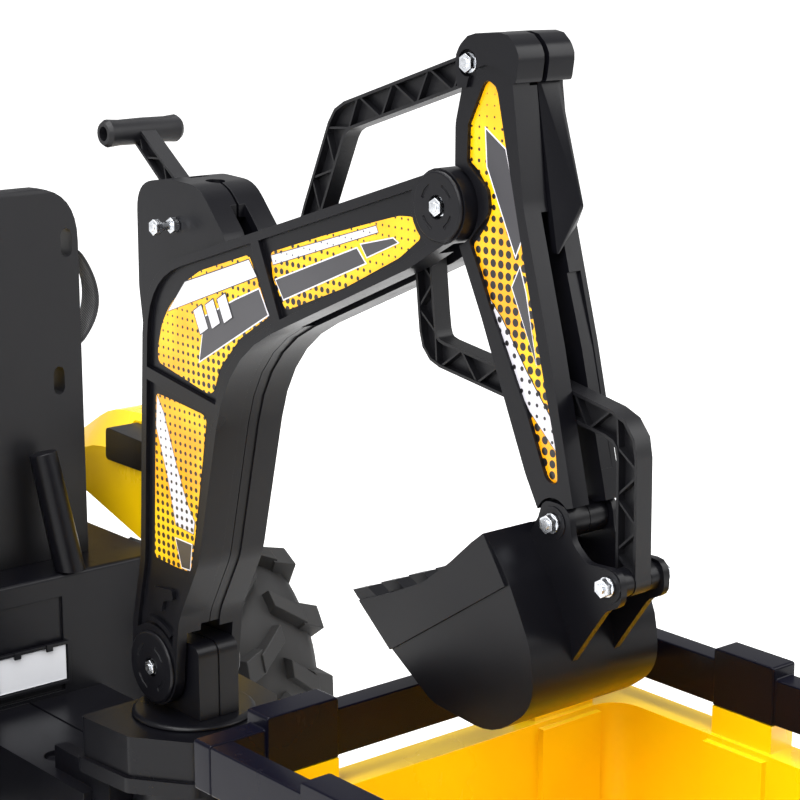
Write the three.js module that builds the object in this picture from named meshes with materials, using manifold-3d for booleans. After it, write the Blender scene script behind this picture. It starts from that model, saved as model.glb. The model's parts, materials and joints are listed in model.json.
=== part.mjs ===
// Ride-on digger: a child's electric ride-on vehicle with a lever-worked digger arm and a hitched trailer.
// Units are millimetres, +Z up, +X forwards, +Y to the driver's left.
// Every coordinate below is measured from the boom's foot pivot; the last group moves the whole object
// so that its origin is on the floor under the middle of its footprint.
import * as THREE from 'three';
import { mergeVertices } from 'three/addons/utils/BufferGeometryUtils.js';
import Module from 'manifold-3d';

const wasm = await Module();
wasm.setup();

// ---------------------------------------------------------------- driving dimensions
const GAP = 0.4; // clearance between pieces that touch
const LEFT = 1;
const RIGHT = -1;
const SIDES = { left: LEFT, right: RIGHT };

const FLOOR = -340; // floor level below the boom's foot pivot
const FRONT = 1092; // foremost point, the bumper
const REAR = -862; // rearmost point, the rim of the trailer

// pivots of the digger arm, as [x, z]
const FOOT = [0, 0];
const LEVER_PIVOT = [-47, 437];
const ELBOW = [-419.5, 495.4];
const STICK_TOP = [-441, 607];
const LOWER_LINK_PIVOT = [-363, 470];
const BUCKET_PIVOT = [-540, 265];
const BUCKET_LINK_PIVOT = [-600, 229];

const BOLT = 4; // radius of the M8 bolts
const WASHER = 8;
const NUT = 7.5; // M8 nut across its corners, as a radius
const LINK_HALF = 8.3; // half the width of the ribbed links
const CHANNEL = 11; // half the space between the boom's two shells
const BOOM_HALF = 37.5;
const FORK_HALF = 26.6; // half the space in the fork at the foot and at the elbow
const STAND_HALF = 23;
const STAND_ROOM = 61; // radius that the boom leaves free around the stand's top
const PANEL_DEPTH = 4.5;
const BOOM_RIM = 8;
const STICK_HALF = 26;
const STICK_CHANNEL = 9;
const STICK_LUG_HALF = 13.5; // the stick is thinner where the elbow barrels grip it
const HEAD_HALF = 29; // the stick's head, around the upper link's bolt
const HOUSING_HALF = 31;
const BUCKET_HALF = 68;

const TURNTABLE_X = -12;
const PEDESTAL_TOP = -50.5;
const DECK_Z = -135;
const WALL_X = 300; // rear wall of the body
const SEAT_X = 354; // rear face of the seat back

const REAR_WHEEL = { x: 345, z: -165, radius: 175, inner: 205, outer: 322 };
const FRONT_WHEEL = { x: 945, z: -225, radius: 115, inner: 190, outer: 262 };
const TRAILER_WHEEL = { x: -620, z: -240, radius: 100, inner: 168, outer: 222 };

const TRAILER = { front: -356, rear: -858, half: 236, low: 87, tall: 98, bottom: 46, rim: 21 };
const HITCH_X = -112;

const PAINT = {
  black: { color: 0x17171a, roughness: 0.42, metalness: 0 },
  satin: { color: 0x1d1d20, roughness: 0.55, metalness: 0 },
  gloss: { color: 0x0b0c12, roughness: 0.15, metalness: 0 },
  yellow: { color: 0xf9c200, roughness: 0.32, metalness: 0 },
  zinc: { color: 0xc9ccd0, roughness: 0.3, metalness: 1 },
  steel: { color: 0x3c3e42, roughness: 0.45, metalness: 0.8 },
  tyre: { color: 0x1a1a1b, roughness: 0.8, metalness: 0 },
  webbing: { color: 0x141416, roughness: 0.9, metalness: 0 },
  plate: { color: 0xd9dadd, roughness: 0.4, metalness: 0 },
};

// ---------------------------------------------------------------- geometry helpers
const degrees = (angle) => (angle * Math.PI) / 180;

/** A closed solid made from any three.js geometry. */
function solid(geometry) {
  const bare = geometry.index ? geometry.toNonIndexed() : geometry.clone();
  bare.deleteAttribute('normal');
  bare.deleteAttribute('uv');
  const merged = mergeVertices(bare, 1e-4);
  const index = merged.index.array;
  const triangles = [];
  for (let i = 0; i < index.length; i += 3) {
    const [a, b, c] = [index[i], index[i + 1], index[i + 2]];
    if (a !== b && b !== c && c !== a) triangles.push(a, b, c);
  }
  return new wasm.Manifold(new wasm.Mesh({
    numProp: 3,
    vertProperties: new Float32Array(merged.attributes.position.array),
    triVerts: new Uint32Array(triangles),
  }));
}

const join = (...parts) => parts.reduce((sum, part) => sum.add(part));
const cut = (body, ...tools) => tools.reduce((rest, tool) => rest.subtract(tool), body);

/** Rounds the corners [a, b, radius] of an outline; an open path keeps its two end points. */
function rounded(corners, open = false) {
  const points = [];
  const last = corners.length - 1;
  corners.forEach(([a, b, radius = 0], i) => {
    if (!radius || (open && (i === 0 || i === last))) {
      points.push([a, b]);
      return;
    }
    const here = new THREE.Vector2(a, b);
    const before = new THREE.Vector2(...corners[(i + last) % (last + 1)].slice(0, 2)).sub(here);
    const after = new THREE.Vector2(...corners[(i + 1) % (last + 1)].slice(0, 2)).sub(here);
    const half = before.angleTo(after) / 2;
    const reach = Math.min(radius / Math.tan(half), before.length() * 0.49, after.length() * 0.49);
    const start = here.clone().addScaledVector(before.normalize(), reach);
    const end = here.clone().addScaledVector(after.normalize(), reach);
    const steps = Math.max(2, Math.round((Math.PI - 2 * half) / degrees(radius > 30 ? 10 : 26)));
    const arc = new THREE.QuadraticBezierCurve(start, here, end);
    for (const point of arc.getPoints(steps)) points.push([point.x, point.y]);
  });
  return points;
}

/** Moves every edge of a polyline to its right by a distance. */
function offset(points, distance, open = false) {
  const count = points.length;
  return points.map(([a, b], i) => {
    const previous = points[open ? Math.max(i - 1, 0) : (i + count - 1) % count];
    const next = points[open ? Math.min(i + 1, count - 1) : (i + 1) % count];
    const into = new THREE.Vector2(a - previous[0], b - previous[1]).normalize();
    const out = new THREE.Vector2(next[0] - a, next[1] - b).normalize();
    const side = into.clone().add(out).normalize();
    const lean = into.lengthSq() && out.lengthSq() ? Math.max(side.dot(into), 0.4) : 1;
    return [a + (side.y * distance) / lean, b - (side.x * distance) / lean];
  });
}

/** A band of even or tapering width along a rounded path. */
function band(corners, width, endWidth = width) {
  const path = rounded(corners, true);
  const right = offset(path, width / 2, true);
  const left = offset(path, -width / 2, true);
  const narrow = (endWidth - width) / 2;
  const last = path.length - 1;
  const taper = (edge) => edge.map(([a, b], i) => {
    const share = (narrow * i) / last / (width / 2);
    return [a + (a - path[i][0]) * share, b + (b - path[i][1]) * share];
  });
  return [...taper(right), ...taper(left).reverse()];
}

function extrude(outline, depth) {
  const shape = new THREE.Shape(outline.map(([a, b]) => new THREE.Vector2(a, b)));
  return new THREE.ExtrudeGeometry(shape, { depth, steps: 1, bevelEnabled: false });
}

/** An [x, z] outline between two values of y. */
const slab = (outline, y0, y1) =>
  solid(extrude(outline, y1 - y0).rotateX(Math.PI / 2).translate(0, y1, 0));
/** An [x, y] outline between two values of z. */
const plate = (outline, z0, z1) => solid(extrude(outline, z1 - z0).translate(0, 0, z0));
/** A [y, z] outline between two values of x. */
const wall = (outline, x0, x1) => {
  const turn = new THREE.Matrix4().makeBasis(
    new THREE.Vector3(0, 1, 0), new THREE.Vector3(0, 0, 1), new THREE.Vector3(1, 0, 0));
  return solid(extrude(outline, x1 - x0).applyMatrix4(turn).translate(x0, 0, 0));
};
const box = (x0, x1, y0, y1, z0, z1) =>
  solid(new THREE.BoxGeometry(x1 - x0, y1 - y0, z1 - z0)
    .translate((x0 + x1) / 2, (y0 + y1) / 2, (z0 + z1) / 2));
const rodY = ([x, z], radius, y0, y1, sides = 24) =>
  solid(new THREE.CylinderGeometry(radius, radius, y1 - y0, sides).translate(x, (y0 + y1) / 2, z));
const rodX = ([y, z], radius, x0, x1, sides = 24) =>
  solid(new THREE.CylinderGeometry(radius, radius, x1 - x0, sides).rotateZ(Math.PI / 2)
    .translate((x0 + x1) / 2, y, z));
const rodZ = ([x, y], radius, z0, z1, sides = 24, topRadius = radius) =>
  solid(new THREE.CylinderGeometry(topRadius, radius, z1 - z0, sides).rotateX(Math.PI / 2)
    .translate(x, y, (z0 + z1) / 2));
/** A straight rod between two points in space. */
function strut(from, to, radius, endRadius = radius, sides = 16) {
  const a = new THREE.Vector3(...from);
  const b = new THREE.Vector3(...to);
  const way = b.clone().sub(a);
  const geometry = new THREE.CylinderGeometry(endRadius, radius, way.length(), sides);
  geometry.applyQuaternion(new THREE.Quaternion().setFromUnitVectors(
    new THREE.Vector3(0, 1, 0), way.clone().normalize()));
  return solid(geometry.translate(...a.clone().add(b).multiplyScalar(0.5).toArray()));
}
/** A ring or disc turned about the Y axis through [x, z]; the profile is a list of [radius, y]. */
const turned = (profile, [x, z], sides = 40) =>
  solid(new THREE.LatheGeometry(profile.map(([r, y]) => new THREE.Vector2(r, y)), sides).translate(x, 0, z));
const circle = ([a, b], radius, sides = 24, from = 0, to = 360) =>
  Array.from({ length: sides + 1 }, (_, i) => {
    const angle = degrees(from + ((to - from) * i) / sides);
    return [a + radius * Math.cos(angle), b + radius * Math.sin(angle)];
  }).slice(0, to - from === 360 ? sides : sides + 1);
/** Part of a ring, between two radii and two angles in degrees. */
const ringPart = (centre, inner, outer, from, to, sides = 6) =>
  [...circle(centre, outer, sides, from, to), ...circle(centre, inner, sides, from, to).reverse()];
/** The two values of y of a layer on one side of the middle plane. */
const layer = (side, inner, outer) => (side > 0 ? [inner, outer] : [-outer, -inner]);
const bothSides = (half) => [...half, ...half.map(([a, b, r]) => [a, -b, r]).reverse()];

const object = new THREE.Group();

function add(name, body, paint) {
  const { vertProperties, triVerts } = body.asOriginal().simplify(0.02).getMesh();
  const geometry = new THREE.BufferGeometry();
  geometry.setAttribute('position', new THREE.BufferAttribute(new Float32Array(vertProperties), 3));
  geometry.setIndex(new THREE.BufferAttribute(new Uint32Array(triVerts), 1));
  geometry.computeVertexNormals();
  const mesh = new THREE.Mesh(geometry, new THREE.MeshStandardMaterial(PAINT[paint]));
  mesh.name = name;
  object.add(mesh);
}

/** A bolt along Y, with its nuts and washers, as one piece. */
function boltY(at, y0, y1, nuts) {
  const pieces = nuts.map(([y, thickness]) => rodY(at, NUT, y, y + thickness, 6));
  const washers = nuts.filter(([, , side]) => side).map(([y, thickness, side]) =>
    (side > 0 ? rodY(at, WASHER, y - 1.6, y + 0.1, 12)
      : rodY(at, WASHER, y + thickness - 0.1, y + thickness + 1.6, 12)));
  return join(rodY(at, BOLT, y0, y1, 8), ...pieces, ...washers);
}
const boltHole = (at, radius = BOLT + GAP) => rodY(at, radius, -60, 60, 8);

// ---------------------------------------------------------------- turret
function buildTurret() {
  const disc = solid(new THREE.LatheGeometry([
    [0, -62], [40, -62], [40, PEDESTAL_TOP + GAP], [61, PEDESTAL_TOP + GAP],
    [61, -47.5], [56, -44.5], [0, -44.5],
  ].map(([r, z]) => new THREE.Vector2(r, z)), 28).rotateX(Math.PI / 2).translate(TURNTABLE_X, 0, 0));
  add('turntable', disc, 'black');

  // two halves that meet in a shallow seam
  const upright = rounded([[-56, -44.1], [-56, 32, 14], [36, 27, 26], [38, -10, 20], [42, -44.1]]);
  const halves = Object.values(SIDES).map((side) => slab(upright, ...layer(side, 1, STAND_HALF)));
  const middle = slab(offset(upright, 1.4), -1.1, 1.1);
  add('turret_stand', cut(join(middle, ...halves), boltHole(FOOT)), 'black');
}

// ---------------------------------------------------------------- boom
// the rear and under edge runs from the foot up to the elbow, the front and top edge runs back down
const boomRear = [[-37, -3], [-45, 58, 50], [-80, 122, 70], [-130, 330, 150], [-381, 441, 60], [-428, 468]];
const boomFront = [[-409, 521], [0, 390, 90], [9, 255, 300], [17.5, 108, 120], [34, 40, 40], [37.5, -3]];
const boomRearEdge = rounded(boomRear, true);
const boomFrontEdge = rounded(boomFront, true);
const boomOutline = [...boomRearEdge, ...boomFrontEdge];
// the lever's housing stands between the two shells
const housingOutline = rounded([[6, 292], [17.5, 372, 60], [17, 470, 48], [-36, 478, 60], [-84, 476, 40],
  [-128, 428, 30], [-118, 350, 40], [-62, 292, 20]]);

function boomShell(side) {
  const on = (outline, inner, outer) => slab(outline, ...layer(side, inner, outer));
  const standRoom = rodY(FOOT, STAND_ROOM, ...layer(side, 0, FORK_HALF), 36);
  const body = join(
    cut(on(boomOutline, CHANNEL, BOOM_HALF),
      standRoom,
      rodY(ELBOW, 42, ...layer(side, 0, FORK_HALF + 0.4), 28)),
    rodY(FOOT, 38, ...layer(side, FORK_HALF, BOOM_HALF), 32),
    rodY(ELBOW, 30, ...layer(side, 14, BOOM_HALF), 28));
  // raised rim and ribs around three sunk panels
  const sunk = cut(on(offset(boomOutline, BOOM_RIM), BOOM_HALF - PANEL_DEPTH, BOOM_HALF + 1),
    on(band([[10, 294], [-120, 274]], 12), 0, 50),
    on(band([[-172, 445], [-214, 352]], 12), 0, 50),
    rodY(ELBOW, 35, ...layer(side, 0, 50), 28),
    rodY(FOOT, 43, ...layer(side, 0, 50), 32),
    on(ringPart(FOOT, 46, 51, 82, 128), 0, 50),
    on(rounded([[-2, 82, 3], [-34, 86, 3], [-36, 76, 3], [-20, 72, 3], [-16, 60, 3], [-4, 60, 3]]), 0, 50));
  // the closed rear and front walls of the channel between the shells
  const rearWall = boomRearEdge.filter(([x, z]) => z > 30 && x > -322);
  const frontWall = boomFrontEdge.filter(([, z]) => z < 285 && z > 30);
  const closing = join(...[rearWall, frontWall].map((edge) =>
    cut(on([...offset(edge, 9, true), ...offset(edge, 1.5, true).reverse()], GAP, CHANNEL + 1), standRoom)));
  const room = on(offset(housingOutline, GAP), 0, HOUSING_HALF + GAP);
  return cut(join(body, closing), sunk, room, boltHole(FOOT), boltHole(ELBOW),
    nutWell(FOOT, side), nutWell(ELBOW, side),
    boltHole(LOWER_LINK_PIVOT, 3 + GAP), boltHole(LEVER_PIVOT, 10));
}

/** The hole a through bolt's washer and nut are sunk into, through the cap and into the shell. */
const nutWell = (at, side) => rodY(at, WASHER + 1.5, ...layer(side, BOOM_HALF - 2, BOOM_HALF + 5), 20);

function pivotCap(at, radius, side) {
  const on = (outline, inner, outer) => slab(outline, ...layer(side, inner, outer));
  const slots = [0, 90, 180, 270].map((turn) =>
    on(ringPart(at, radius * 0.58, radius * 0.68, turn + 18, turn + 62, 2), BOOM_HALF + 2.2, BOOM_HALF + 5));
  const edge = side > 0
    ? [[0, 37.9], [radius, 37.9], [radius, 39.4], [radius - 1.6, 41], [0, 41]]
    : [[0, -41], [radius - 1.6, -41], [radius, -39.4], [radius, -37.9], [0, -37.9]];
  return cut(turned(edge, at, 24), ...slots, nutWell(at, side));
}

function buildBoom() {
  for (const [name, side] of Object.entries(SIDES)) {
    add(`boom_${name}_shell`, boomShell(side), 'black');
    add(`foot_cap_${name}`, pivotCap(FOOT, 36, side), 'black');
    add(`elbow_cap_${name}`, pivotCap(ELBOW, 28.5, side), 'black');
  }
  const through = [[BOOM_HALF, 5.5, 1], [-BOOM_HALF - 5.5, 5.5, -1]];
  add('boom_pivot_bolt', boltY(FOOT, -44.8, 44.8, through), 'zinc');
  add('elbow_bolt', boltY(ELBOW, -44.8, 44.8, through), 'zinc');
  add('lower_link_pin', rodY(LOWER_LINK_PIVOT, 3, -32, 32, 12), 'zinc');

  const cavity = slab(offset(housingOutline, -8), -CHANNEL, CHANNEL);
  const leverSlot = slab([[-60, 430], ...circle(LEVER_PIVOT, 120, 6, 8, 74)], -CHANNEL, CHANNEL);
  const belowSlot = box(-100, -20, -CHANNEL, CHANNEL, 280, 330);
  const keyhole = join(rodZ([-66, 0], 9, 455, 500, 20), box(-104, -66, -1.2, 1.2, 430, 500),
    box(-124, -100, -8, 8, 425, 470));
  add('lever_housing', cut(slab(housingOutline, -HOUSING_HALF, HOUSING_HALF), cavity, leverSlot, belowSlot,
    keyhole, boltHole(LEVER_PIVOT)), 'satin');
  add('lever_bolt', boltY(LEVER_PIVOT, -41, 58, [[31.4, 6.5], [50, 6.5], [-37.9, 6.5]]), 'zinc');
}

// ---------------------------------------------------------------- lever and ribbed links
/** A link with a rim on both edges, a thin web and zigzag ribs. */
function ribbedBar(corners, width, pitch, endWidth = width) {
  const rim = 2.6;
  const web = 2;
  const bar = slab(band(corners, width, endWidth), -LINK_HALF, LINK_HALF);
  const hollow = band(corners, width - 2 * rim, endWidth - 2 * rim);
  const path = rounded(corners, true).map(([a, b]) => new THREE.Vector2(a, b));
  const line = new THREE.CurvePath();
  path.slice(1).forEach((point, i) => line.add(new THREE.LineCurve(path[i], point)));
  const stations = Math.max(2, Math.round(line.getLength() / pitch));
  const spine = line.getSpacedPoints(stations);
  const ribs = spine.slice(1).map((point, i) => {
    const way = point.clone().sub(spine[i]).normalize();
    const across = new THREE.Vector2(-way.y, way.x).multiplyScalar((i % 2 ? 1 : -1) * width * 0.5);
    const from = spine[i].clone().add(across);
    const to = point.clone().sub(across);
    return slab(band([[from.x, from.y], [to.x, to.y]], 1.8), -LINK_HALF + 0.8, LINK_HALF - 0.8);
  });
  const pockets = join(slab(hollow, web / 2, LINK_HALF + 1), slab(hollow, -LINK_HALF - 1, -web / 2));
  const inside = slab(band(corners, width - 0.6, endWidth - 0.6), -LINK_HALF, LINK_HALF);
  return join(cut(bar, pockets), join(...ribs).intersect(inside));
}

const eye = (at, radius) => rodY(at, radius, -LINK_HALF, LINK_HALF, 18);

const GRIP = [54, 512];
const LEVER_TAIL = [-92, 404];

function buildLever() {
  const arm = ribbedBar([LEVER_PIVOT, GRIP], 21, 26, 17);
  const tail = slab(band([LEVER_PIVOT, LEVER_TAIL], 18, 14), -LINK_HALF, LINK_HALF);
  const half = [[0, 42], [10.5, 42], [13.2, 38], [12.2, 26], [12.6, 0]];
  const grip = turned([...half.map(([r, y]) => [r, -y]), ...half.slice(0, -1).reverse()], GRIP, 20);
  const bores = [[-44, -30], [30, 44]].map(([from, to]) => rodY(GRIP, 7, from, to, 12));
  add('t_lever', cut(join(arm, tail, eye(LEVER_PIVOT, 13.5), eye(LEVER_TAIL, 8.5), grip),
    ...bores, boltHole(LEVER_PIVOT)), 'satin');
}

function buildLinks() {
  const upper = ribbedBar([STICK_TOP, [-258, 549, 26], [-219, 466], [-203, 426]], 24, 24);
  add('upper_link', cut(join(upper, eye(STICK_TOP, 13)), boltHole(STICK_TOP)), 'satin');

  const lower = ribbedBar([LOWER_LINK_PIVOT, [-370, 402], [-374, 371, 22], [-476, 357]], 20.5, 21, 23);
  const lowerEye = join(lower, eye(LOWER_LINK_PIVOT, 11.5));
  add('lower_link', cut(lowerEye, boltHole(LOWER_LINK_PIVOT, 3 + GAP)), 'satin');

  const bucketLink = ribbedBar([[-496, 361], [-556, 351], [-598, 344, 28], BUCKET_LINK_PIVOT], 24, 22, 21);
  const bucketEye = join(bucketLink, eye(BUCKET_LINK_PIVOT, 11.5));
  add('bucket_link', cut(bucketEye, boltHole(BUCKET_LINK_PIVOT)), 'satin');
}

// ---------------------------------------------------------------- stick
const stickRear = [[-489, 618], [-489, 592], [-502, 503, 80], [-532, 398, 200], [-561, 281]];
const stickFront = [[-524, 269], [-508, 297, 60], [-456, 412, 200], [-430, 464, 20], [-424, 488],
  [-424.5, 560, 30], [-432, 588, 20], [-432, 610]];
const stickRearEdge = rounded(stickRear, true);
const stickOutline = [...stickRearEdge, ...rounded(stickFront, true)];
const stickHead = rounded([[-429, 588, 4], [-427, 613, 16], [-440, 629, 24], [-487, 632, 30], [-499, 616, 14],
  [-495, 592, 4], [-480, 604, 16], [-462, 607, 16], [-444, 601, 14], [-440, 588, 2]]);
const stickPanel = rounded([[-439, 560], [-438, 530, 6], [-462, 512, 12], [-464, 494, 10], [-441, 470, 4],
  [-466, 421, 100], [-512, 338, 100], [-531, 296, 8], [-544, 295, 9], [-541, 322, 60], [-506, 450, 300],
  [-481, 550, 300], [-471, 592, 18], [-458, 596, 14]]);
const finEdge = rounded([[-486, 604], [-518, 501, 5], [-511, 486], [-505, 486], [-482, 600]]);
const finRoot = [[-486, 602], [-502, 500], [-512, 466], [-506, 466], [-482, 602]];

function stickShell(side) {
  const on = (outline, inner, outer) => slab(outline, ...layer(side, inner, outer));
  const plates = cut(join(on(stickOutline, STICK_CHANNEL, STICK_HALF), on(stickHead, 2.5, HEAD_HALF)),
    rodY(STICK_TOP, 10.5, ...layer(side, HEAD_HALF - 4, 40), 18),
    rodY(ELBOW, 32, ...layer(side, STICK_LUG_HALF, 40), 28),
    rodY(BUCKET_PIVOT, 19.5, ...layer(side, 19.2, 40), 24),
    on(circle(STICK_TOP, 18, 16), 0, STICK_CHANNEL),
    on([STICK_TOP, [-380, 620], [-380, 560], [-440, 575]], 0, STICK_CHANNEL));
  const lugs = join(rodY(ELBOW, 27, ...layer(side, GAP, STICK_LUG_HALF), 24),
    rodY(BUCKET_PIVOT, 14, ...layer(side, GAP, 19.2), 16));
  const rearWall = stickRearEdge.filter(([, z]) => z > 420 && z < 600);
  const strip = [...offset(rearWall, -6, true), ...offset(rearWall, -1, true).reverse()];
  const closing = on(strip, GAP, STICK_CHANNEL + 1);
  const panel = on(stickPanel, STICK_HALF - 3.8, STICK_HALF + 1);
  const holes = [ELBOW, STICK_TOP, BUCKET_PIVOT].map((at) => boltHole(at));
  const shell = cut(join(plates, lugs, closing), panel, ...holes);
  if (side === LEFT) return shell;
  // the right shell carries a wedge-shaped fin, and below it a long shallow panel on its rear face
  const sunk = slab(band([[-518, 452], [-536, 395], [-559, 305]], 8), -21, -6);
  const fin = wasm.Manifold.hull([slab(finRoot, -2.5, -GAP), slab(finEdge, -22, -19)]);
  return join(cut(shell, sunk), fin);
}

function buildStick() {
  for (const [name, side] of Object.entries(SIDES)) add(`stick_${name}_shell`, stickShell(side), 'black');
  const nuts = [[HEAD_HALF - 2, 4.5, 1], [-HEAD_HALF + 2 - 4.5, 4.5, -1]];
  add('upper_link_bolt', boltY(STICK_TOP, -33, 33, nuts), 'zinc');
}

// ---------------------------------------------------------------- bucket
const bucketLip = [-358, 166];
const bucketTop = [-509, 258];
const bucketShell = [bucketLip, [-398, 134], [-448, 103, 40], [-520, 97, 60], [-566, 132, 60],
  [-561, 178, 60], [-536, 225, 50], bucketTop];
const bucketMouth = rounded([bucketTop, [-496, 248, 30], [-470, 225, 60], [-438, 201, 60], [-395, 181, 40],
  bucketLip], true);
const TOOTH_PITCH = 30;
const TOOTH = [[-362, 162], [-372, 158], [-382, 172], [-366, 179], [-347, 172], [-353, 167]];
const BUCKET_WALL = 4;
const EAR = [20, 26]; // the ears beside the stick, as distances from the middle
const EAR_BOSS = EAR[1] + 0.8;

function buildBucket() {
  const shellEdge = rounded(bucketShell, true);
  const outside = slab([...shellEdge, ...bucketMouth.slice(1, -1)], -BUCKET_HALF, BUCKET_HALF);
  const inner = offset(shellEdge, BUCKET_WALL, true);
  const hollowHalf = BUCKET_HALF - BUCKET_WALL;
  const room = slab([...inner, [-470, 330], [-330, 260]], -hollowHalf, hollowHalf);
  const cheeks = Object.values(SIDES).map((side) =>
    slab([bucketLip, [-398, 134], [-534, 222], bucketTop, ...bucketMouth.slice(1, -1)],
      ...layer(side, BUCKET_HALF - BUCKET_WALL, BUCKET_HALF + 2.5)));
  const teeth = [-2, -1, 0, 1, 2].map((i) => slab(TOOTH, i * TOOTH_PITCH - 7.5, i * TOOTH_PITCH + 7.5));
  const earOutline = rounded([[-514, 252], [-523, 266], [-528, 281, 13], [-557, 281, 14], [-560, 254, 14],
    [-576, 241, 14], [-612, 243, 12], [-614, 216, 12], [-598, 209, 14], [-577, 180, 30], [-561, 157],
    [-545, 175], [-540, 205], [-522, 235]]);
  const ears = Object.values(SIDES).map((side) => cut(slab(earOutline, ...layer(side, ...EAR)), room));
  const bosses = Object.values(SIDES).flatMap((side) => [
    rodY(BUCKET_LINK_PIVOT, 11, ...layer(side, LINK_HALF + 1, EAR[0] + 1), 14),
    rodY(BUCKET_LINK_PIVOT, 13, ...layer(side, EAR[0], EAR_BOSS), 16),
    rodY(BUCKET_PIVOT, 13, ...layer(side, EAR[0], EAR_BOSS), 16)]);
  const stickRoom = rodY(BUCKET_PIVOT, 33, -EAR[0] + 0.3, EAR[0] - 0.3, 28);
  const hollow = cut(outside, room, stickRoom);
  add('bucket', cut(join(hollow, ...cheeks, ...teeth, ...ears, ...bosses),
    boltHole(BUCKET_PIVOT), boltHole(BUCKET_LINK_PIVOT)), 'black');
  const nuts = [[EAR_BOSS + 2, 5.5, 1], [-EAR_BOSS - 2 - 5.5, 5.5, -1]];
  add('bucket_pivot_bolt', boltY(BUCKET_PIVOT, -36, 36, nuts), 'zinc');
  add('bucket_link_bolt', boltY(BUCKET_LINK_PIVOT, -36, 36, nuts), 'zinc');
}

// ---------------------------------------------------------------- body of the vehicle
const HULL_HALF = 174;
const DECK_HALF = 90;
const NOSE_HALF = 118;
const LEDGE_Z = 3;
const KINGPIN_Y = 156;
const COLUMN = { top: [652, 0, 186], foot: [792, 0, 24] };
const PEDAL_HINGE = [700, -166]; // [x, z]
const PEDAL_Y = -75;

function buildPedestal() {
  const top = bothSides([[48, 0], [46, 94, 6], [-30, 88, 10], [-83, 50, 10], [-83, 0]]);
  const flange = offset(rounded(top), 5);
  const column = rodZ([TURNTABLE_X, 0], 62, -205, -100, 24);
  const tongue = join(box(-130, -50, -32, 32, -176, -166), rodZ([HITCH_X, 0], 32, -176, -166, 20));
  const well = rodZ([TURNTABLE_X, 0], 40 + GAP, -70, -40, 28);
  const upper = plate(rounded(top), -92, PEDESTAL_TOP);
  const body = join(upper, plate(flange, -106, -91), column, tongue,
    box(20, 51.5, -80, 80, -205, -105));
  add('pedestal', cut(body, well, rodZ([HITCH_X, 0], 5 + GAP, -180, -160)), 'black');
}

function buildHull() {
  const deck = box(52, 310, -DECK_HALF, DECK_HALF, -205, DECK_Z);
  const main = slab(rounded([[WALL_X, -240, 8], [WALL_X, LEDGE_Z, 5], [604, LEDGE_Z, 10], [612, -176, 6],
    [770, -176, 10], [786, -60.5], [790, -240]]), -HULL_HALF, HULL_HALF);
  const nose = slab(rounded([[770, -190], [786, -60.5], [1080, -60.5], [1080, -150, 20], [1040, -190, 20]]),
    -NOSE_HALF, NOSE_HALF);
  const wings = box(786, 1080, -138, 138, -68, -60.5);
  const frontBeam = box(FRONT_WHEEL.x - 18, FRONT_WHEEL.x + 18, -140, 140, -245, -188);
  const forks = Object.values(SIDES).flatMap((side) => [-214, -245].map((z) =>
    box(FRONT_WHEEL.x - 18, FRONT_WHEEL.x + 18, ...layer(side, 130, KINGPIN_Y + 14), z, z + 7)));
  const kingpinHoles = Object.values(SIDES).map((side) =>
    rodZ([FRONT_WHEEL.x, side * KINGPIN_Y], 5 + GAP, -260, -190, 16));
  const underneath = join(box(WALL_X + 8, 596, -166, 166, -250, -7),
    box(60, WALL_X + 20, -82, 82, -250, DECK_Z - 7));
  const tray = box(410, 590, -168, 168, -160, -152);
  const platePocket = box(WALL_X - 1, WALL_X + 3.5, -42, 42, -130, -22);
  const blocks = Object.values(SIDES).map((side) =>
    box(52, 128, ...layer(side, 60, 76), DECK_Z - 1, DECK_Z + 24));
  const holes = [LEFT, RIGHT].map((side) => rodZ([152, side * 57], 15, DECK_Z - 6, DECK_Z + 5, 24));
  const seam = box(56, WALL_X, 2, 4.5, DECK_Z - 3, DECK_Z + 1);
  const axleHole = rodY([REAR_WHEEL.x, REAR_WHEEL.z], 10 + GAP, -200, 200, 10);
  const shell = join(cut(join(deck, main, nose, wings), underneath), tray, frontBeam, ...forks, ...blocks);
  add('body_tub', cut(shell, platePocket, seam, ...holes, ...kingpinHoles, axleHole), 'black');

  const frameOutline = rounded([[-47, -72, 3], [47, -72, 3], [47, -121, 3], [-47, -121, 3]]);
  const frame = wall(frameOutline, WALL_X - 6, WALL_X + 3);
  const opening = wall(rounded([[-43.4, -75.6, 2], [43.4, -75.6, 2], [43.4, -117.4, 2], [-43.4, -117.4, 2]]),
    WALL_X - 7, WALL_X - 3.2);
  const clips = [-20, 20].map((y) => box(WALL_X - 8, WALL_X - 5, y - 4, y + 4, -79, -71));
  const behind = box(WALL_X - GAP, WALL_X + 10, -60, 60, -140, 0);
  add('number_plate', join(cut(frame, behind, opening), ...clips), 'plate');
  const battery = join(box(430, 560, -70, 70, -151.6, -62), box(440, 462, -50, -30, -63, -54),
    box(440, 462, 30, 50, -63, -54));
  add('battery', battery, 'satin');
}

const FENDER_OUTER = 262;

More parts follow.
